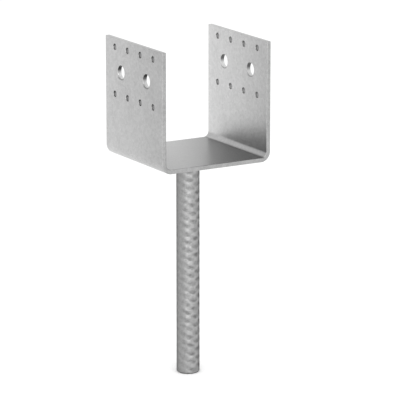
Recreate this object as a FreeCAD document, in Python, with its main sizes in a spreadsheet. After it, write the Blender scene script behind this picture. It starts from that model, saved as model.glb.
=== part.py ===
import FreeCAD, Part
import math
import os
import Sketcher

# Post base for timber: a steel sheet folded into a U-shaped saddle, with a length of ribbed
# reinforcing bar welded upright under its seat. The bar is cast into a concrete footing, the
# post stands on the seat between the two flanges, and bolts or screws go through them.
#
# Millimetres. The origin is the middle of the seat's top face. +Z is up, X runs across the
# flanges from one to the other, and Y along their width. The flanges are alike, and the
# saddle's front is at -Y.

SIZES = [
    # name, value, what it is
    ("post_gap", 101.0, "clear width between the flanges, a post of 100 and 1 to spare"),
    ("plate_width", 100.0, "width of the folded sheet, along Y"),
    ("sheet_thickness", 4.0, "thickness of the sheet"),
    ("flange_height", 103.0, "top of the flanges above the seat"),
    ("bend_radius", 5.0, "inside radius of the two folds"),
    ("edge_round", 0.4, "rounding of the sheet's cut edges under the zinc"),
    ("bolt_hole", 12.0, "diameter of the bolt holes"),
    ("bolt_spacing", 45.0, "distance between a flange's two bolt holes"),
    ("bolt_drop", 29.0, "bolt holes' centres below the flange's top"),
    ("screw_hole", 5.5, "diameter of the screw holes"),
    ("screw_pitch", 22.5, "distance between the screw holes in a row"),
    ("screws_in_row", 4, "screw holes in a row"),
    ("screw_drop", 8.0, "upper row's centres below the flange's top"),
    ("screw_row_gap", 42.0, "lower row below the upper row"),
    ("bar_core", 19.8, "diameter of the bar between its ribs"),
    ("bar_length", 197.0, "bar below the underside of the seat"),
    ("bar_chamfer", 1.0, "chamfer round the bar's free end"),
    ("rib_height", 0.8, "height of a rib at its middle, above the core"),
    ("rib_head", 1.6, "width of a rib's crest"),
    ("rib_foot", 3.6, "width of a rib where it meets the core"),
    ("rib_root", 0.3, "depth of a rib's foot inside the core"),
    ("rib_shift", 0.8, "offset of a rib's disc from the bar's axis: the more, the shorter the rib"),
    ("rib_lean", 28.0, "slope of the ribs to the bar's cross-section, in degrees"),
    ("left_pitch", 7.2, "distance between the ribs of the left front row, along the bar"),
    ("right_pitch", 8.0, "distance between the ribs of the right front row"),
    ("rear_pitch", 7.9, "distance between the ribs of the rear row"),
    ("left_first", 4.3, "first whole rib of the left front row below the seat's underside"),
    ("right_first", 6.9, "first whole rib of the right front row"),
    ("rear_first", 2.0, "first whole rib of the rear row"),
    ("weld_leg", 5.0, "leg of the fillet weld, under the seat and down the bar's core"),
]

# The three rows of ribs: where the row's middle lies, in degrees round the bar from the front
# towards +X, and whether its ribs rise (+1) or fall (-1) to the right when seen from outside.
RIB_ROWS = [
    ("left", -60.0, -1),
    ("right", 60.0, +1),
    ("rear", 180.0, +1),
]

doc = FreeCAD.newDocument("post_base")
sheet = doc.addObject("Spreadsheet::Sheet", "sizes")
for number, (name, value, note) in enumerate(SIZES, start=1):
    sheet.set(f"A{number}", note)
    sheet.set(f"B{number}", str(value))
    sheet.setAlias(f"B{number}", name)
doc.recompute()


def size(name):
    """The value of a named size, for a first position that the constraints then hold."""
    return float(sheet.get(name))


def origin_feature(body, role):
    """One of a body's own origin planes or axes."""
    return next(item for item in body.Origin.OriginFeatures if item.Role == role)


def new_body(name):
    """An empty body whose name and label are the piece's."""
    body = doc.addObject("PartDesign::Body", name)
    body.Label = name
    return body


def new_sketch(body, name, role):
    """An empty sketch on one of the body's origin planes."""
    sketch = body.newObject("Sketcher::SketchObject", name)
    sketch.AttachmentSupport = [(origin_feature(body, role), "")]
    sketch.MapMode = "FlatFace"
    return sketch


def bind(sketch, name, expression, constraint):
    """Add a sized constraint and tie it to the sheet."""
    index = sketch.addConstraint(constraint)
    sketch.renameConstraint(index, name)
    sketch.setExpression(f"Constraints.{name}", expression)


def line(start, end):
    """A straight sketch edge between two (x, y) points."""
    return Part.LineSegment(FreeCAD.Vector(*start, 0), FreeCAD.Vector(*end, 0))


def arc(centre, radius, start_degrees, end_degrees):
    """A sketch arc, counter-clockwise from the first angle to the second."""
    circle = Part.Circle(FreeCAD.Vector(*centre, 0), FreeCAD.Vector(0, 0, 1), radius)
    return Part.ArcOfCircle(circle, math.radians(start_degrees), math.radians(end_degrees))


def add_outline(sketch, corners):
    """A closed outline of straight edges through the corners, joined end to end."""
    first = sketch.GeometryCount
    count = len(corners)
    for n, corner in enumerate(corners):
        sketch.addGeometry(line(corner, corners[(n + 1) % count]), False)
    for n in range(count):
        sketch.addConstraint(Sketcher.Constraint("Coincident", first + n, 2, first + (n + 1) % count, 1))


def turned(body, kind, name, sketch):
    """A full turn of a sketch about its own vertical: a Revolution adds and a Groove cuts."""
    feature = body.newObject(f"PartDesign::{kind}", name)
    feature.Profile = sketch
    feature.ReferenceAxis = (sketch, ["V_Axis"])
    feature.Angle = 360
    body.Tip = feature
    doc.recompute()
    return feature


def circle_sketch(body, name, role, centre, diameter_name):
    """A sketch of one circle on the sheet's diameter; the caller places its centre."""
    sketch = new_sketch(body, name, role)
    radius = size(diameter_name) / 2
    sketch.addGeometry(Part.Circle(FreeCAD.Vector(*centre, 0), FreeCAD.Vector(0, 0, 1), radius), False)
    bind(sketch, "diameter", f"sizes.{diameter_name}", Sketcher.Constraint("Diameter", 0, 2 * radius))
    return sketch


# ---------------------------------------------------------------------------------- the saddle

def saddle_profile(body):
    """The folded sheet's section on the XZ plane: seat, two bends and two flanges."""
    half = size("post_gap") / 2
    thick = size("sheet_thickness")
    top = size("flange_height")
    inner = size("bend_radius")
    bend_x = half - inner
    sketch = new_sketch(body, "saddle_profile", "XZ_Plane")
    sketch.addGeometry([
        line((-bend_x, 0), (bend_x, 0)),                        # 0 seat
        arc((bend_x, inner), inner, -90, 0),                    # 1 right bend, inside
        line((half, inner), (half, top)),                       # 2 right flange, inner face
        line((half, top), (half + thick, top)),                 # 3 right flange, top
        line((half + thick, top), (half + thick, inner)),       # 4 right flange, outer face
        arc((bend_x, inner), inner + thick, -90, 0),            # 5 right bend, outside
        line((bend_x, -thick), (-bend_x, -thick)),              # 6 underside
        arc((-bend_x, inner), inner + thick, 180, 270),         # 7 left bend, outside
        line((-half - thick, inner), (-half - thick, top)),     # 8 left flange, outer face
        line((-half - thick, top), (-half, top)),               # 9 left flange, top
        line((-half, top), (-half, inner)),                     # 10 left flange, inner face
        arc((-bend_x, inner), inner, 180, 270),                 # 11 left bend, inside
    ], False)
    join = Sketcher.Constraint
    sketch.addConstraint([
        join("Tangent", 0, 2, 1, 1), join("Tangent", 1, 2, 2, 1),
        join("Coincident", 2, 2, 3, 1), join("Coincident", 3, 2, 4, 1),
        join("Tangent", 4, 2, 5, 2), join("Tangent", 5, 1, 6, 1),
        join("Tangent", 6, 2, 7, 2), join("Tangent", 7, 1, 8, 1),
        join("Coincident", 8, 2, 9, 1), join("Coincident", 9, 2, 10, 1),
        join("Tangent", 10, 2, 11, 1), join("Tangent", 11, 2, 0, 1),
        join("Coincident", 1, 3, 5, 3), join("Coincident", 11, 3, 7, 3),
        join("Horizontal", 3), join("Horizontal", 6), join("Horizontal", 9),
        join("Vertical", 2), join("Vertical", 4), join("Vertical", 8), join("Vertical", 10),
        join("PointOnObject", 0, 1, -1), join("Symmetric", 0, 1, 0, 2, -2),
        join("Equal", 1, 11), join("Equal", 2, 10),
    ])
    bind(sketch, "gap", "sizes.post_gap", join("DistanceX", 10, 2, 2, 1, 2 * half))
    bind(sketch, "radius", "sizes.bend_radius", join("Radius", 1, inner))
    bind(sketch, "thickness", "sizes.sheet_thickness", join("DistanceY", 6, 1, 0, 2, thick))
    bind(sketch, "height", "sizes.flange_height", join("DistanceY", -1, 1, 2, 2, top))
    return sketch


def cut_edges(shape):
    """Names of the edges where the sheet was sheared: round both ends and along the flange tops."""
    half_width = size("plate_width") / 2
    top = size("flange_height")
    near = 1e-6
    names = []
    for number, edge in enumerate(shape.Edges, start=1):
        box = edge.BoundBox
        at_end = box.YLength < near and abs(abs(box.YMin) - half_width) < near
        at_top = box.ZLength < near and abs(box.ZMin - top) < near and box.YLength > near
        if at_end or at_top:
            names.append(f"Edge{number}")
    return names


def repeat(body, name, feature, direction, pitch, count, backwards=False):
    """Repeat a feature along a direction. The pitch and the count are expressions."""
    pattern = body.newObject("PartDesign::LinearPattern", name)
    pattern.Originals = [feature]
    pattern.Direction = direction
    pattern.Reversed = backwards
    pattern.Mode = "Spacing"
    pattern.setExpression("Offset", pitch)
    pattern.setExpression("Occurrences", count)
    body.Tip = pattern
    doc.recompute()


def hole_row(body, name, diameter_name, drop, pitch, count):
    """A row of holes along Y through both flanges, about the flanges' middle.

    drop is the row's distance below the flanges' top, and pitch and count are the row's own,
    all as expressions.
    """
    aside = size("plate_width") / 4
    above = size("flange_height") / 2
    sketch = circle_sketch(body, f"{name}_sketch", "YZ_Plane", (-aside, above), diameter_name)
    bind(sketch, "first", f"{pitch} * ({count} - 1) / 2",
         Sketcher.Constraint("DistanceX", 0, 3, -1, 1, aside))
    bind(sketch, "level", f"sizes.flange_height - ({drop})",
         Sketcher.Constraint("DistanceY", -1, 1, 0, 3, above))
    pocket = body.newObject("PartDesign::Pocket", f"{name}_pocket")
    pocket.Profile = sketch
    pocket.SideType = "Symmetric"
    pocket.Type = "ThroughAll"
    body.Tip = pocket
    doc.recompute()
    repeat(body, f"{name}_pattern", pocket, (sketch, ["H_Axis"]), pitch, count)


def make_saddle():
    """The folded sheet with its bolt holes and its two rows of screw holes in each flange."""
    body = new_body("saddle")
    pad = body.newObject("PartDesign::Pad", "saddle_pad")
    pad.Profile = saddle_profile(body)
    pad.SideType = "Symmetric"
    pad.setExpression("Length", "sizes.plate_width")
    body.Tip = pad
    doc.recompute()
    rounding = body.newObject("PartDesign::Fillet", "saddle_edges")
    rounding.Base = (pad, cut_edges(pad.Shape))
    rounding.setExpression("Radius", "sizes.edge_round")
    body.Tip = rounding
    doc.recompute()
    hole_row(body, "bolt_holes", "bolt_hole", "sizes.bolt_drop", "sizes.bolt_spacing", "2")
    hole_row(body, "upper_screw_holes", "screw_hole", "sizes.screw_drop",
             "sizes.screw_pitch", "sizes.screws_in_row")
    hole_row(body, "lower_screw_holes", "screw_hole", "sizes.screw_drop + sizes.screw_row_gap",
             "sizes.screw_pitch", "sizes.screws_in_row")
    return body


# ------------------------------------------------------------------------------ the ribbed bar

def rib_profile(body, name, middle, rise):
    """Half the section of the disc whose rim is a row's first rib, on a plane with its axis.

    The disc stands a little off the bar's axis towards the row's middle, so that its rim comes
    out of the core there and sinks back into it on both sides, which makes a crescent. The
    sketch's plane is turned to the row's middle and leans by the ribs' slope, so that the
    disc's axis is the sketch's own vertical. The disc lies one pitch above the row's first
    whole rib, and the saw cuts it where it passes the bar's top.
    """
    sketch = new_sketch(body, f"{name}_rib_sketch", "XZ_Plane")
    level = f"sizes.{name}_pitch - sizes.{name}_first - sizes.sheet_thickness"
    sketch.setExpression(
        "AttachmentOffset",
        f"placement(vector(sizes.rib_shift * sin({middle} deg); {level};"
        f" sizes.rib_shift * cos({middle} deg));"
        f" rotation(vector(0; 1; 0); {middle} deg)"
        f" * rotation(vector(0; 0; 1); {rise} * sizes.rib_lean * 1 deg))")
    rim = size("bar_core") / 2 + size("rib_height") - size("rib_shift")
    root = rim - size("rib_height") - size("rib_root")
    head = size("rib_head") / 2
    foot = size("rib_foot") / 2
    add_outline(sketch, [(0, -foot), (root, -foot), (rim, -head), (rim, head), (root, foot), (0, foot)])
    join = Sketcher.Constraint
    sketch.addConstraint([
        join("Horizontal", 0), join("Horizontal", 4), join("Vertical", 2),
        join("Symmetric", 5, 1, 5, 2, -1, 1), join("PointOnObject", 5, 1, -2),
        join("Equal", 0, 4), join("Equal", 1, 3),
    ])
    bind(sketch, "foot", "sizes.rib_foot", join("DistanceY", 0, 1, 4, 2, 2 * foot))
    bind(sketch, "head", "sizes.rib_head", join("DistanceY", 2, 1, 2, 2, 2 * head))
    bind(sketch, "rim", "sizes.bar_core / 2 + sizes.rib_height - sizes.rib_shift",
         join("DistanceX", -1, 1, 2, 1, rim))
    bind(sketch, "root", "sizes.bar_core / 2 - sizes.rib_shift - sizes.rib_root",
         join("DistanceX", -1, 1, 0, 2, root))
    return sketch


def rib_row(body, name, middle, rise):
    """One row of crescent ribs, from above the bar's top to past its free end."""
    sketch = rib_profile(body, name, middle, rise)
    rib = turned(body, "Revolution", f"{name}_rib", sketch)
    repeat(body, f"{name}_ribs", rib, (origin_feature(body, "Z_Axis"), [""]),
           f"sizes.{name}_pitch", f"floor(sizes.bar_length / sizes.{name}_pitch) + 2", backwards=True)


def sawn_ends(body):
    """What the saw takes off: ribs above the seat's underside, ribs past the free end and its rim."""
    core = size("bar_core")
    top = -size("sheet_thickness")
    end = top - size("bar_length")
    rim = core / 2 - size("bar_chamfer")
    sketch = new_sketch(body, "sawn_ends_sketch", "XZ_Plane")
    add_outline(sketch, [(0, top), (core, top), (core, top + core), (0, top + core)])
    add_outline(sketch, [(0, end), (rim, end), (core, end + core - rim), (core, end - core), (0, end - core)])
    join = Sketcher.Constraint
    sketch.addConstraint([
        join("Horizontal", 0), join("Vertical", 1), join("Horizontal", 2), join("Vertical", 3),
        join("PointOnObject", 0, 1, -2), join("Equal", 0, 1),
        join("Horizontal", 4), join("Vertical", 6), join("Horizontal", 7), join("Vertical", 8),
        join("PointOnObject", 4, 1, -2), join("Equal", 7, 8), join("Equal", 0, 7),
    ])
    bind(sketch, "reach", "sizes.bar_core", join("DistanceX", 0, 1, 0, 2, core))
    bind(sketch, "top", "sizes.sheet_thickness", join("DistanceY", 0, 1, -1, 1, -top))
    bind(sketch, "end", "sizes.sheet_thickness + sizes.bar_length", join("DistanceY", 4, 1, -1, 1, -end))
    bind(sketch, "rim", "sizes.bar_core / 2 - sizes.bar_chamfer", join("DistanceX", 4, 1, 4, 2, rim))
    bind(sketch, "flare", "sizes.bar_core / 2 + sizes.bar_chamfer",
         join("DistanceY", 5, 1, 5, 2, core - rim))
    return sketch


def make_ribbed_bar():
    """The bar below the seat: a round core, three rows of crescent ribs and two sawn ends."""
    body = new_body("ribbed_bar")
    core_sketch = circle_sketch(body, "core_sketch", "XY_Plane", (0, 0), "bar_core")
    core_sketch.addConstraint(Sketcher.Constraint("Coincident", 0, 3, -1, 1))
    core_sketch.setExpression("AttachmentOffset.Base.z", "-sizes.sheet_thickness")
    core = body.newObject("PartDesign::Pad", "core")
    core.Profile = core_sketch
    core.Reversed = True
    core.setExpression("Length", "sizes.bar_length")
    body.Tip = core
    doc.recompute()
    for name, middle, rise in RIB_ROWS:
        rib_row(body, name, middle, rise)
    turned(body, "Groove", "sawn_ends", sawn_ends(body))
    return body


# -------------------------------------------------------------------------------------- the weld

def make_fillet_weld(bar):
    """The weld bead: a cone under the seat with the bar taken out of it, so the two meet face to face."""
    cone_body = new_body("weld_cone")
    top = -size("sheet_thickness")
    core = size("bar_core") / 2
    leg = size("weld_leg")
    sketch = new_sketch(cone_body, "weld_sketch", "XZ_Plane")
    add_outline(sketch, [(0, top), (core + leg, top), (core, top - leg), (0, top - leg)])
    join = Sketcher.Constraint
    sketch.addConstraint([
        join("Horizontal", 0), join("Horizontal", 2), join("Vertical", 3), join("PointOnObject", 0, 1, -2),
    ])
    bind(sketch, "top", "sizes.sheet_thickness", join("DistanceY", 0, 1, -1, 1, -top))
    bind(sketch, "depth", "sizes.weld_leg", join("DistanceY", 1, 2, 1, 1, leg))
    bind(sketch, "width", "sizes.bar_core / 2 + sizes.weld_leg", join("DistanceX", 0, 1, 0, 2, core + leg))
    bind(sketch, "neck", "sizes.bar_core / 2", join("DistanceX", 2, 2, 2, 1, core))
    turned(cone_body, "Revolution", "weld_turn", sketch)
    bead = doc.addObject("Part::Cut", "fillet_weld")
    bead.Label = "fillet_weld"
    bead.Base = cone_body
    bead.Tool = bar
    doc.recompute()
    return bead


# ------------------------------------------------------------------------------ build and export

saddle = make_saddle()
ribbed_bar = make_ribbed_bar()
fillet_weld = make_fillet_weld(ribbed_bar)
pieces = [saddle, ribbed_bar, fillet_weld]

failed = [item.Name for item in doc.Objects if {"Invalid", "Error"} & set(item.State)]
if failed:
    raise RuntimeError(f"failed features: {failed}")
for piece in pieces:
    if piece.Shape.isNull() or not piece.Shape.isValid() or len(piece.Shape.Solids) != 1:
        raise RuntimeError(f"{piece.Label} is not one valid solid")

os.makedirs("parts", exist_ok=True)
for piece in pieces:
    piece.Shape.exportStep(f"parts/{piece.Label}.step")
    print(f"{piece.Label}: {piece.Shape.Volume / 1000:.2f} cm3")
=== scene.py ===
"""The looks of the timber post base: a galvanised saddle, its ribbed bar and their weld."""
from collections import namedtuple

import bmesh
import bpy
import numpy as np
from mathutils import Matrix, Vector


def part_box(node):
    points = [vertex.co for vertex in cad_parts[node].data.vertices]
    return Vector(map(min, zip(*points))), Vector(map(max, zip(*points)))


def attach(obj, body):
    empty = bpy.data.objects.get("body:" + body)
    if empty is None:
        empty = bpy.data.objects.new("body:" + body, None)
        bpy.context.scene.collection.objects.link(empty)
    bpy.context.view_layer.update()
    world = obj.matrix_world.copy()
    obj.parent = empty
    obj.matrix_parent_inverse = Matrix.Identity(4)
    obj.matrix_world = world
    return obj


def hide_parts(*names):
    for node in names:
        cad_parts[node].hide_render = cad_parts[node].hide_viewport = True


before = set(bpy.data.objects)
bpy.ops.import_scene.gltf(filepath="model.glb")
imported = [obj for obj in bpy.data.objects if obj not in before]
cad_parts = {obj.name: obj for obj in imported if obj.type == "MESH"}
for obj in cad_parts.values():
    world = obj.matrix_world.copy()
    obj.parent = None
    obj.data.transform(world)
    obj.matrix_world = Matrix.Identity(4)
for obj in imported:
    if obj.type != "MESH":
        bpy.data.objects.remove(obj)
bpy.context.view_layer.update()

# Lengths are in millimetres up to the moment a mesh is made. The origin is the middle of the
# seat's top face, +Z is up, X runs across the flanges and the saddle's front is at -Y.
MM = 0.001

saddle_low, saddle_high = (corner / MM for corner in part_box("saddle"))
bar_low, bar_high = (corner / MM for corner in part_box("ribbed_bar"))

# the sheet: its thickness, a fold's radius inside and its length along the blank, the radius of
# a sheared edge, and how far in from that an extra grid line keeps the face flat
SHEET = 4.0
BEND = 5.0
BEND_RUN = 11.0
EDGE = 0.4
SUPPORT = 0.15
SEAT_HALF = saddle_high.x - SHEET - BEND
TOP = saddle_high.z
HALF_WIDTH = saddle_high.y

# the holes: their radii, how far the rows lie below the flange's top, and the pitch of a row
SCREW_RADIUS = 2.75
SCREW_DROPS = (8.0, 50.0)
BOLT_RADIUS = 6.0
BOLT_DROP = 29.0
HOLE_PITCH = 22.5
# a hole's rim on the face towards the post and on the outer face: its radius, and how far from
# the wall the flat face begins
INNER_RIM = (0.25, 0.45)
OUTER_RIM = (0.5, 0.75)
# the grid's cell near the holes, and half the width of each kind of hole's block in cells
CELL = 1.125
SCREW_CELLS = 4
BOLT_CELLS = 8
# painted shade on a hole's wall low down and high up, and on its rim at the lowest point;
# a wall with a figure below 0 gets a painted highlight instead
SCREW_PAINTED_SHADE = (0.25, 0.52, 0.0)
BOLT_PAINTED_SHADE = (-0.45, 0.78, 0.45)

# the bar: its radius without ribs, the chamfer at its end, the zinc that fills the valleys, and
# how far a crest stands out of that zinc
BAR_CORE = 9.9
BAR_CHAMFER = 1.0
ZINC_FILL = 0.38
RIB_STAND = 0.0875
# a rib: half its crest's width, half its foot's width, how far it reaches round the bar to each
# side of its middle, and its lean
RIB_HEAD = 0.1
RIB_FOOT = 2.6
RIB_REACH = np.radians(105.0)
RIB_LEAN = np.radians(28.0)
# each row of ribs: its middle round the bar from the front towards +X, whether its ribs rise or
# fall that way, its pitch, and its first whole rib below the bar's top
RIB_ROWS = (
    (np.radians(-60.0), -1.0, 7.2, 4.3),
    (np.radians(60.0), 1.0, 8.0, 6.9),
    (np.radians(180.0), 1.0, 7.9, 2.0),
)
# zinc lies thicker along one side of the bar: that side's middle, how far to each side it is at
# its full depth and where it ends, how much of the ribs it hides, and how bright it is
POOL_MIDDLE = np.radians(-95.0)
POOL_FULL = np.radians(25.0)
POOL_END = np.radians(75.0)
POOL_HIDES = 0.8
POOL_TONE = 0.6

# the weld: its longest leg, how far it is sunk into the bar and into the sheet, and where round
# the bar its bead stops
WELD_LEG = 4.9
WELD_IN_BAR = 0.25
WELD_IN_SHEET = 0.15
WELD_STOP = 2.75

# a hole: its place on the blank, its radius, half its block's width in cells, and the painted shade
# of its wall and rim
Hole = namedtuple("Hole", "along across radius cells dull")


# ------------------------------------------------------------------------------------ mesh making

def grid_faces(rows, columns, closed=False):
    """Corner numbers of the quads between neighbouring rows and columns of a grid of points."""
    number = np.arange(rows * columns).reshape(rows, columns)
    if closed:
        number = np.concatenate([number, number[:, :1]], axis=1)
    corners = (number[:-1, :-1], number[1:, :-1], number[1:, 1:], number[:-1, 1:])
    return np.stack(corners, axis=-1).reshape(-1, 4)


def joined(patches):
    """One list of points, one of quads and one of figures for painted light and shade from several
    patches of the three.
    """
    points, quads, painted_shadings, count = [], [], [], 0
    for patch_points, patch_quads, patch_painted_shading in patches:
        points.append(patch_points)
        quads.append(patch_quads + count)
        painted_shadings.append(patch_painted_shading)
        count += len(patch_points)
    return np.concatenate(points), np.concatenate(quads), np.concatenate(painted_shadings)


def make_piece(name, points, quads, painted_shading, finish, slot, node):
    """A closed smooth mesh from points in millimetres, in place of a node of the part.

    Each point also has a figure which its material reads as painted light and shade: about 1 where
    it stands out or gets a painted highlight, and about 0 in a hollow or where it gets painted
    shade.
    """
    mesh = bpy.data.meshes.new(name)
    mesh.from_pydata(points * MM, [], quads.tolist())
    # each point's figure for painted light and shade, which the material reads
    attribute = mesh.attributes.new("painted_shading", "FLOAT", "POINT")
    attribute.data.foreach_set("value", painted_shading.astype(np.float32))
    shell = bmesh.new()
    shell.from_mesh(mesh)
    bmesh.ops.remove_doubles(shell, verts=shell.verts, dist=1e-7)
    bmesh.ops.recalc_face_normals(shell, faces=shell.faces)
    shell.to_mesh(mesh)
    shell.free()
    mesh.shade_smooth()
    mesh.materials.append(finish)
    piece = bpy.data.objects.new(name, mesh)
    bpy.context.scene.collection.objects.link(piece)
    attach(piece, "root")
    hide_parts(node)


def stations(start, *stretches):
    """Positions from start through stretches of (end, number of cells), evenly within each."""
    runs = [np.array([start])]
    for end, cells in stretches:
        runs.append(np.linspace(runs[-1][-1], end, cells + 1)[1:])
    return np.concatenate(runs)


def soft_step(value, start, end):
    """0 up to start, 1 from end on and a soft S between; start may be the greater."""
    run = np.clip((value - start) / (end - start), 0, 1)
    return run ** 2 * (3 - 2 * run)


def quarter(radius, steps):
    """A quarter circle from (radius, 0) to (0, radius): how far it has come along each side."""
    turn = np.linspace(0, np.pi / 2, steps + 1)
    return radius * (1 - np.sin(turn)), radius * (1 - np.cos(turn))


# ------------------------------------------------------------------------------------- the saddle

def folded(along, across, depth):
    """The flat blank bent to the saddle.

    along runs from the seat's middle out over a fold and up a flange, across is Y, and depth goes
    from the face that touches the post into the sheet. On the seat a point is (along, -depth). On
    the fold it turns about the fold's centre at a distance of the bend radius plus its depth. On
    the flange it stands that far out, and as high as what is left of along.
    """
    run = np.abs(along)
    turn = np.clip((run - SEAT_HALF) / BEND_RUN, 0, 1) * np.pi / 2
    rise = np.maximum(run - SEAT_HALF - BEND_RUN, 0)
    reach = BEND + depth
    x = np.sign(along) * (np.minimum(run, SEAT_HALF) + reach * np.sin(turn))
    z = BEND + rise - reach * np.cos(turn)
    return np.stack([x, across, z], axis=-1).reshape(-1, 3)


def on_flange(drop):
    """Where a level below the flanges' top lies along the blank."""
    return SEAT_HALF + BEND_RUN + TOP - drop - BEND


def blank_lines():
    """The blank's grid lines along and across, with a block of square cells round each hole."""
    screw = SCREW_CELLS * CELL
    bolt = BOLT_CELLS * CELL
    lower, upper = on_flange(SCREW_DROPS[1]), on_flange(SCREW_DROPS[0])
    middle = on_flange(BOLT_DROP)
    half = stations(
        0.0, (SEAT_HALF, 16), (SEAT_HALF + BEND_RUN, 14), (lower - screw, 20),
        (lower + screw, 2 * SCREW_CELLS), (middle - bolt, 6), (middle + bolt, 2 * BOLT_CELLS),
        (upper - screw, 6), (upper + screw, 2 * SCREW_CELLS),
        (on_flange(EDGE + SUPPORT), 3), (on_flange(EDGE), 1))
    along = np.concatenate([-half[:0:-1], half])
    count = int((HALF_WIDTH - EDGE) / CELL)
    inner = np.arange(-count, count + 1) * CELL
    across = np.concatenate([[EDGE - HALF_WIDTH], inner, [HALF_WIDTH - EDGE]])
    return along, across


def all_holes():
    """Both flanges' holes: two rows of four screw holes, and two bolt holes between the rows."""
    holes = []
    for side in (-1, 1):
        for drop in SCREW_DROPS:
            for step in (-1.5, -0.5, 0.5, 1.5):
                place = (side * on_flange(drop), step * HOLE_PITCH)
                holes.append(Hole(*place, SCREW_RADIUS, SCREW_CELLS, SCREW_PAINTED_SHADE))
        for step in (-1, 1):
            place = (side * on_flange(BOLT_DROP), step * HOLE_PITCH)
            holes.append(Hole(*place, BOLT_RADIUS, BOLT_CELLS, BOLT_PAINTED_SHADE))
    return holes


def block_middle(along, across, hole):
    """The numbers of the grid lines that cross in a hole's middle."""
    return np.abs(along - hole.along).argmin(), np.abs(across - hole.across).argmin()


def hole_patch(along, across, hole):
    """A hole with both faces round it, as rings of as many points as its block's border has.

    Rings shrink from the block's border to a circle just outside the rim, go over the rounded rim,
    through the sheet and over the far rim, and widen back to the border on the other face. Every
    ring's points stand at the border points' own angles. The figure for painted light and shade is
    1 on the faces. In the hole it is less by the painted shade on the wall, deeper high up than low
    down and a painted highlight where the figure is below 0, and less again by painted shade on the
    rims low down.
    """
    i, j = block_middle(along, across, hole)
    run = np.arange(-hole.cells, hole.cells)
    side = np.full(2 * hole.cells, hole.cells)
    border_s = along[i + np.concatenate([run, side, -run, -side])]
    border_y = across[j + np.concatenate([-side, run, side, -run])]
    angle = np.arctan2(border_y - hole.across, border_s - hole.along)

    near_gap, near_depth = quarter(INNER_RIM[0], 4)
    far_gap, far_depth = quarter(OUTER_RIM[0], 5)
    wall = np.linspace(0, SHEET, 9)[1:-1]
    flush = np.zeros_like(wall)
    gap = np.concatenate([[INNER_RIM[1]], near_gap, flush, far_gap[::-1], [OUTER_RIM[1]]])
    depth = np.concatenate([[0.0], near_depth, wall, SHEET - far_depth[::-1], [SHEET]])
    circle_s = hole.along + (hole.radius + gap[:, None]) * np.cos(angle)
    circle_y = hole.across + (hole.radius + gap[:, None]) * np.sin(angle)
    circle_d = np.broadcast_to(depth[:, None], circle_s.shape)

    share = np.linspace(0, 1, 5)[:-1, None]
    near_s = border_s + share * (circle_s[0] - border_s)
    near_y = border_y + share * (circle_y[0] - border_y)
    far_s = (border_s + share * (circle_s[-1] - border_s))[::-1]
    far_y = (border_y + share * (circle_y[-1] - border_y))[::-1]
    ring_s = np.concatenate([near_s, circle_s, far_s])
    ring_y = np.concatenate([near_y, circle_y, far_y])
    ring_d = np.concatenate([np.zeros_like(near_s), circle_d, np.full_like(far_s, SHEET)])

    # up is 1 at the hole's highest point and -1 at its lowest
    up = np.sign(hole.along) * np.cos(angle)
    low_painted_shade, high_painted_shade, rim_painted_shade = hole.dull
    in_wall = np.clip(np.minimum(ring_d, SHEET - ring_d) / 0.5, 0, 1)
    on_face = np.zeros_like(share)
    on_rim = np.concatenate([on_face, (gap > 0)[:, None], on_face])
    # painted shade on the wall, deeper high up, turning to a painted highlight low in the bolt
    # holes, and painted shade on the rims low down
    painted_shading = 1 - in_wall * (low_painted_shade + (high_painted_shade - low_painted_shade) * soft_step(up, -0.5, 0.3))
    painted_shading = painted_shading - on_rim * rim_painted_shade * soft_step(up, -0.5, -0.9)
    points = folded(ring_s, ring_y, ring_d)
    return points, grid_faces(*ring_s.shape, closed=True), painted_shading.reshape(-1)


def edge_patch(along, across):
    """The sheared edge all round the blank: a rounded rim at each face and a wall between.

    Each point of the grid's outline is moved outwards by the rim profile's offset, and at a corner
    the direction turns through a quarter circle on the spot. The wall is 0.04 mm hollow.
    """
    first_s, last_s, first_y, last_y = along[0], along[-1], across[0], across[-1]
    base_s, base_y, angle = [], [], []
    sides = (
        (along, np.full_like(along, first_y)),
        (np.full_like(across, last_s), across),
        (along[::-1], np.full_like(along, last_y)),
        (np.full_like(across, first_s), across[::-1]),
    )
    for number, (side_s, side_y) in enumerate(sides):
        facing = (number - 1) * np.pi / 2
        fan = facing + np.linspace(0, np.pi / 2, 6)[1:-1]
        base_s.append(np.append(side_s, np.full(len(fan), side_s[-1])))
        base_y.append(np.append(side_y, np.full(len(fan), side_y[-1])))
        angle.append(np.append(np.full(len(side_s), facing), fan))
    base_s, base_y, angle = (np.concatenate(part) for part in (base_s, base_y, angle))

    gap, depth = quarter(EDGE, 5)
    offset = np.concatenate([EDGE - gap, [EDGE, EDGE - 0.04], EDGE - gap[::-1]])
    level = np.concatenate([depth, [SHEET * 0.4, SHEET * 0.6], SHEET - depth[::-1]])
    ring_s = base_s + offset[:, None] * np.cos(angle)
    ring_y = base_y + offset[:, None] * np.sin(angle)
    points = folded(ring_s, ring_y, np.broadcast_to(level[:, None], ring_s.shape))
    return points, grid_faces(*ring_s.shape, closed=True), np.ones(ring_s.size)


def saddle_surface():
    """Both faces of the sheet with their holes' blocks left out, the holes and the sheared edge."""
    along, across = blank_lines()
    holes = all_holes()
    kept = np.ones((len(along) - 1, len(across) - 1), bool)
    for hole in holes:
        i, j = block_middle(along, across, hole)
        kept[i - hole.cells:i + hole.cells, j - hole.cells:j + hole.cells] = False
    s, y = np.meshgrid(along, across, indexing="ij")
    quads = grid_faces(*s.shape)[kept.reshape(-1)]
    patches = [(folded(s, y, np.full_like(s, depth)), quads, np.ones(s.size))
               for depth in (0.0, SHEET)]
    patches += [hole_patch(along, across, hole) for hole in holes]
    patches.append(edge_patch(along, across))
    return joined(patches)


# ---------------------------------------------------------------------------------- the ribbed bar

def whole_turn(count):
    """Even angles all round the bar, from the front towards +X."""
    return np.linspace(0, 2 * np.pi, count, endpoint=False)[None, :]


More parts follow.
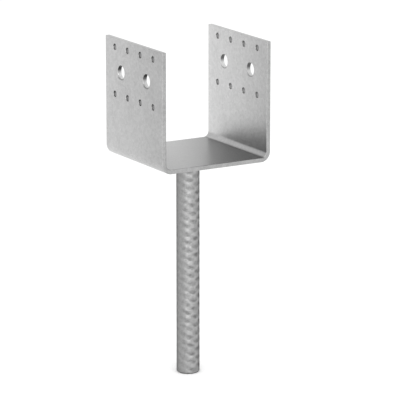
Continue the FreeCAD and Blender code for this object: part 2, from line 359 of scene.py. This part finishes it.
def turned_from(middle, turn):
    """How far an angle is from a middle, from minus to plus half a turn."""
    return (turn - middle + np.pi) % (2 * np.pi) - np.pi


def round_bar(turn, radius, height):
    """Points at an angle, a distance from the bar's axis and a height."""
    return np.stack([radius * np.sin(turn), -radius * np.cos(turn), height], axis=-1).reshape(-1, 3)


def rib_crests(turn, level):
    """How much of a crest there is at a turn and a level, for each row: 0 between ribs, 1 on one.

    A rib climbs like a thread: at a turn a from its row's middle it lies higher than there by the
    core's radius times a times the tangent of its lean. It fades out towards its reach, and beside
    the crest it sinks into the zinc in a soft S.
    """
    crests = []
    for middle, rise, pitch, first in RIB_ROWS:
        a = turned_from(middle, turn)
        fade = np.cos(np.clip(a / RIB_REACH, -1, 1) * np.pi / 2) ** 0.4
        climb = level - bar_high.z + first - rise * BAR_CORE * a * np.tan(RIB_LEAN)
        aside = np.abs((climb + pitch / 2) % pitch - pitch / 2) * np.cos(RIB_LEAN)
        crests.append(fade * soft_step(aside, RIB_FOOT, RIB_HEAD))
    return crests


def bar_surface():
    """The bar as rings from the middle of its top, down its length and in to the middle of its end.

    A ring's radius is the core's, plus the zinc, plus the crests of the ribs that cross there, as
    far as the chamfer lets it. The figure for painted light and shade is 0 in a valley, for painted
    shade, 1 on a crest, for a painted highlight, and between the two where the zinc lies thicker.
    """
    turn = whole_turn(128)
    top, end = bar_high.z, bar_low.z
    level = stations(top, (end + 3.0, 552), (end + 1.5, 8), (end, 14))[:, None]
    pool = POOL_HIDES * soft_step(np.abs(turned_from(POOL_MIDDLE, turn)), POOL_END, POOL_FULL)
    ribs = np.clip(sum(rib_crests(turn, level)), 0, 2) * (1 - pool)
    chamfer = BAR_CORE - BAR_CHAMFER + (level - end)
    wall = np.minimum(BAR_CORE + ZINC_FILL + RIB_STAND * ribs, chamfer)
    # painted shade in the valleys and a painted highlight on the crests, evened out where the zinc
    # lies thicker
    tone = np.minimum(ribs, 1) + POOL_TONE * pool

    inward = np.array([0.985, 0.9, 0.7, 0.5, 0.3, 0.12, 0.0])[:, None]
    radius = np.concatenate([wall[0] * inward[::-1], wall, wall[-1] * inward])
    height = np.concatenate([np.full(len(inward), top), level[:, 0], np.full(len(inward), end)])
    points = round_bar(turn, radius, np.broadcast_to(height[:, None], radius.shape))
    painted_shading = np.concatenate([tone[0] * inward[::-1], tone, tone[-1] * inward])
    return points, grid_faces(*radius.shape, closed=True), painted_shading.reshape(-1)


# ---------------------------------------------------------------------------------------- the weld

def weld_surface():
    """The weld bead: a closed profile carried round the bar.

    The profile's face bulges a little from the toe on the bar to the toe under the seat: it stands
    off the straight line between them in a half wave. Ripples all round the bar cut into it, and
    each trails behind in the bead's middle. The legs vary slowly. The bead rises where it stops.
    """
    turn = whole_turn(384)
    share = np.linspace(0, 1, 25)[:, None]
    leg = WELD_LEG * (0.955 + 0.03 * np.sin(3 * turn + 0.7) + 0.015 * np.sin(7 * turn + 2.0))
    ripple = np.abs(np.sin(21 * turn - 1.9 * np.sin(np.pi * share) + 0.35 * np.sin(5 * turn)))
    past_stop = (turn - WELD_STOP) % (2 * np.pi)
    stop = np.exp(-(past_stop / 0.16) ** 2) + np.exp(-((past_stop - 2 * np.pi) / 0.3) ** 2)
    swell = np.sin(np.pi * share) * (0.35 - 0.28 * ripple + 0.45 * stop)
    top = saddle_low.z + WELD_IN_SHEET
    core = BAR_CORE - WELD_IN_BAR
    radius = core + leg * share + 0.7 * swell
    height = top - leg * (1 - share) - 0.7 * swell

    # the bead's back, which the sheet and the bar hide
    back_radius = np.array([[core + 2.5], [core - 0.6], [core - 0.6]])
    back_height = np.array([[top + 0.3], [top + 0.3], [top - 0.85 * WELD_LEG]])
    back = (3, turn.size)
    radius = np.concatenate([radius, np.broadcast_to(back_radius, back), radius[:1]])
    height = np.concatenate([height, np.broadcast_to(back_height, back), height[:1]])
    # painted highlight on the bead's bulge and painted shade in its ripples; the hidden back takes
    # the darkest figure
    painted_shading = np.concatenate([0.5 + swell, np.zeros((4, turn.size))])
    points = round_bar(turn, radius, height)
    return points, grid_faces(*radius.shape, closed=True), painted_shading.reshape(-1)


# -------------------------------------------------------------------------------------- materials

class Amount:
    """A number in a material, which takes part in sums: each sum adds its Math node."""

    def __init__(self, finish, socket):
        self.finish = finish
        self.socket = socket

    def sum(self, operation, first, second):
        return self.finish.node("ShaderNodeMath", {"operation": operation}, {0: first, 1: second})

    def __add__(self, other):
        return self.sum("ADD", self, other)

    def __radd__(self, other):
        return self.sum("ADD", other, self)

    def __sub__(self, other):
        return self.sum("SUBTRACT", self, other)

    def __rsub__(self, other):
        return self.sum("SUBTRACT", other, self)

    def __mul__(self, other):
        return self.sum("MULTIPLY", self, other)

    def __rmul__(self, other):
        return self.sum("MULTIPLY", other, self)


class Finish:
    """A material under construction."""

    def __init__(self, name):
        self.material = bpy.data.materials.new(name)
        self.material.use_nodes = True
        self.nodes = self.material.node_tree.nodes
        self.links = self.material.node_tree.links
        self.nodes.clear()
        self.surface = self.nodes.new("ShaderNodeBsdfPrincipled")
        output = self.nodes.new("ShaderNodeOutputMaterial")
        self.links.new(self.surface.outputs[0], output.inputs["Surface"])

    def fill(self, node, inputs):
        """Put values or links into a node's sockets."""
        for key, value in inputs.items():
            if isinstance(value, Amount):
                self.links.new(value.socket, node.inputs[key])
            else:
                node.inputs[key].default_value = value

    def node(self, kind, settings, inputs, output=0):
        """Any node: its type, its settings, what its sockets hold, and which output is wanted."""
        node = self.nodes.new(kind)
        for key, value in settings.items():
            setattr(node, key, value)
        self.fill(node, inputs)
        return Amount(self, node.outputs[output])

    def place(self):
        """Object coordinates in millimetres."""
        here = self.node("ShaderNodeTexCoord", {}, {}, "Object")
        return self.node("ShaderNodeVectorMath", {"operation": "SCALE"}, {0: here, "Scale": 1 / MM})

    def part_of(self, vector, axis):
        """One of a vector's three parts."""
        return self.node("ShaderNodeSeparateXYZ", {}, {0: vector}, axis)

    def size_of(self, value):
        """A number without its sign."""
        return self.node("ShaderNodeMath", {"operation": "ABSOLUTE"}, {0: value})

    def noise(self, vector, grain, detail, roughness):
        """Smooth noise from about 0 to 1, with a grain in millimetres."""
        return self.node("ShaderNodeTexNoise", {}, {
            "Vector": vector, "Scale": 1 / grain, "Detail": detail, "Roughness": roughness}, "Fac")

    def spangle(self, vector, grain):
        """A number from 0 to 1 for each crystal of zinc, with crystals of a size in millimetres."""
        inputs = {"Vector": vector, "Scale": 1 / grain}
        colour = self.node("ShaderNodeTexVoronoi", {}, inputs, "Color")
        return self.node("ShaderNodeSeparateColor", {}, {0: colour}, "Red")

    def ramp(self, value, low, high):
        """0 up to low, 1 from high on and a soft S between; low may be the greater."""
        return self.node("ShaderNodeMapRange", {"interpolation_type": "SMOOTHSTEP"},
                         {"Value": value, "From Min": low, "From Max": high})

    def grey(self, value):
        """A colour of three equal parts."""
        return self.node("ShaderNodeCombineColor", {}, {0: value, 1: value, 2: value})

    def painted_shading(self):
        """The figure for painted light and shade that each point of the piece has from its shape.
        """
        return self.node("ShaderNodeAttribute", {"attribute_name": "painted_shading"}, {}, "Fac")

    def bump(self, height, millimetres):
        """A bump whose full height is given in millimetres."""
        inputs = {"Height": height, "Distance": millimetres * MM, "Strength": 1.0}
        return self.node("ShaderNodeBump", {}, inputs)


def sheet_zinc():
    """Smooth zinc on rolled sheet: faint crystals and clouds in a light grey.

    Painted light makes it a little brighter towards the back and brighter on the flanges' inner
    faces. Painted shade darkens the seat, most of all towards +X and the front, the foot of those
    inner faces, and the folds. It is duller on the sheared edges at the front and the back, and the
    holes carry their own painted shade and highlights.
    """
    finish = Finish("sheet_zinc")
    place = finish.place()
    right = finish.part_of(place, "X")
    out = finish.size_of(right)
    back = finish.part_of(place, "Y")
    up = finish.part_of(place, "Z")
    crystals = finish.spangle(place, 2.6)
    clouds = finish.noise(place, 22.0, 3.0, 0.55)
    grain = finish.noise(place, 1.6, 3.0, 0.6)

    # where each part of the sheet is: 1 there and 0 elsewhere
    level = finish.ramp(up, -0.6, -0.2) * finish.ramp(up, 0.5, 0.2)
    on_seat = level * finish.ramp(out, SEAT_HALF + 3.4, SEAT_HALF + 2.4)
    # how much painted shade the seat gets: most towards +X and the front
    seat_painted_shade = on_seat * finish.ramp(right - back * 0.45, -16.0, 40.0)
    inside = finish.ramp(out, SEAT_HALF + BEND + 0.9, SEAT_HALF + BEND + 0.3)
    on_flange_inside = inside * finish.ramp(up, 3.0, BEND)
    foot = on_flange_inside * finish.ramp(up, 34.0, BEND)
    # how much painted shade the foot of the inner faces gets: most at the front
    foot_painted_shade = foot * finish.ramp(back, HALF_WIDTH, -10.0)
    below_flange = finish.ramp(up, BEND + 1.0, BEND - 1.0)
    on_fold = inside * finish.ramp(out, SEAT_HALF - 1.0, SEAT_HALF + 1.0) * below_flange
    cut = finish.ramp(finish.size_of(back), HALF_WIDTH - 0.4, HALF_WIDTH - 0.1)

    # the base grey, with painted light that brightens it a little towards the back
    tone = 0.447 + back * 0.001
    tone = tone + (crystals - 0.5) * 0.06 + (clouds - 0.5) * 0.11 + (grain - 0.5) * 0.15
    # painted shade over the whole seat, and more of it towards +X and the front
    tone = tone * (1.0 - 0.07 * on_seat) * (1.0 - 0.48 * seat_painted_shade)
    # painted light on the flanges' inner faces, growing towards the back, and painted shade at
    # their foot
    tone = tone * (1.0 + (0.15 + back * 0.0009) * on_flange_inside) * (1.0 - 0.33 * foot_painted_shade)
    # painted shade in the folds, darker sheared edges, and the painted shade and highlights of the
    # holes
    tone = tone * (1.0 - 0.06 * on_fold) * (1.0 - 0.15 * cut) * finish.painted_shading()
    finish.fill(finish.surface, {
        "Base Color": finish.grey(tone),
        "Metallic": 1.0,
        "Roughness": 0.33 + (crystals - 0.5) * 0.05 + (clouds - 0.5) * 0.1 + 0.1 * cut,
        "Normal": finish.bump(grain + 2.0 * clouds, 0.05),
    })
    return finish.material


def bar_zinc(name, tone, ribbed, wear):
    """Dull zinc on the bar and the weld: blotchy and rough, darker between the ribs than on them.

    The figure after the tone sets how strong the painted shade between the ribs and the painted
    highlight on them are, and wear how deep its unevenness is in millimetres.
    """
    finish = Finish(name)
    place = finish.place()
    blotch = finish.noise(place, 2.6, 2.0, 0.6)
    grain = finish.noise(place, 0.9, 3.0, 0.6)
    patch = 0.4 + finish.ramp(finish.noise(place, 5.0, 1.0, 0.5), 0.35, 0.65)
    # painted shade where the figure is low and a painted highlight where it is high, in patches
    shade = ribbed * (finish.painted_shading() - 0.6) * patch
    finish.fill(finish.surface, {
        "Base Color": finish.grey(tone + shade + (blotch - 0.5) * 0.14 + (grain - 0.5) * 0.1),
        "Metallic": 1.0,
        "Specular Tint": (0.2, 0.2, 0.2, 1.0),
        "Roughness": 0.41 + (blotch - 0.5) * 0.15,
        "Normal": finish.bump(0.5 * grain + blotch, wear),
    })
    return finish.material


# ------------------------------------------------------------------------------------ the studio

def make_floor():
    """A white floor under the bar's end, 24 m square."""
    half = 12.0
    level = bar_low.z * MM
    square = [(-half, -half), (half, -half), (half, half), (-half, half)]
    corners = [(x, y, level) for x, y in square]
    mesh = bpy.data.meshes.new("floor")
    mesh.from_pydata(corners, [], [(0, 1, 2, 3)])
    paint = Finish("floor_white")
    paint.fill(paint.surface, {"Base Color": (1.0, 1.0, 1.0, 1.0), "Roughness": 1.0,
                               "Specular IOR Level": 0.0})
    mesh.materials.append(paint.material)
    floor = bpy.data.objects.new("floor", mesh)
    bpy.context.scene.collection.objects.link(floor)


def make_sky():
    """An even white sky."""
    world = bpy.data.worlds.new("studio")
    world.use_nodes = True
    background = world.node_tree.nodes["Background"]
    background.inputs["Color"].default_value = (1.0, 1.0, 1.0, 1.0)
    background.inputs["Strength"].default_value = 1.0
    bpy.context.scene.world = world


def make_lamp(name, place, target, width, height, power):
    """A soft box with its sizes in metres and its power in watts, turned to a target."""
    lamp = bpy.data.lights.new(name, "AREA")
    lamp.shape = "RECTANGLE"
    lamp.size = width
    lamp.size_y = height
    lamp.energy = power
    holder = bpy.data.objects.new(name, lamp)
    holder.location = place
    holder.rotation_euler = (Vector(target) - Vector(place)).to_track_quat("-Z", "Y").to_euler()
    bpy.context.scene.collection.objects.link(holder)


def make_camera(azimuth, height, distance, right_shift, up_shift, lens):
    """A long lens at an azimuth round to the left of the front, and an angle of height.

    It stands at a distance in metres from the origin, moved to its own right and up by the shifts.
    """
    level = np.cos(height)
    away = Vector((-np.sin(azimuth) * level, -np.cos(azimuth) * level, np.sin(height)))
    right = Vector((np.cos(azimuth), -np.sin(azimuth), 0.0))
    up = away.cross(right)
    camera = bpy.data.cameras.new("camera")
    camera.sensor_width = 36.0
    camera.lens = lens
    camera.clip_end = 100.0
    holder = bpy.data.objects.new("camera", camera)
    place = distance * away + right_shift * right + up_shift * up
    turn = Matrix((right, up, away)).transposed()
    holder.matrix_world = Matrix.Translation(place) @ turn.to_4x4()
    bpy.context.scene.collection.objects.link(holder)
    bpy.context.scene.camera = holder


make_piece("galvanised_saddle", *saddle_surface(), sheet_zinc(), "galvanised_sheet", "saddle")
make_piece("galvanised_ribbed_bar", *bar_surface(),
           bar_zinc("bar_zinc", tone=0.289, ribbed=0.14, wear=0.3), "galvanised_bar", "ribbed_bar")
make_piece("galvanised_weld_bead", *weld_surface(),
           bar_zinc("weld_zinc", tone=0.32, ribbed=0.1, wear=0.3), "galvanised_weld", "fillet_weld")

make_floor()
make_sky()
make_lamp("key", place=(-1.1, -2.25, 0.9), target=(0.0, 0.0, -0.05), width=4.0, height=2.4,
          power=60.0)
make_camera(azimuth=np.radians(30.48), height=np.radians(13.65), distance=2.63539,
            right_shift=0.01074, up_shift=-0.04157, lens=268.66)
bpy.context.scene.view_settings.view_transform = "Standard"
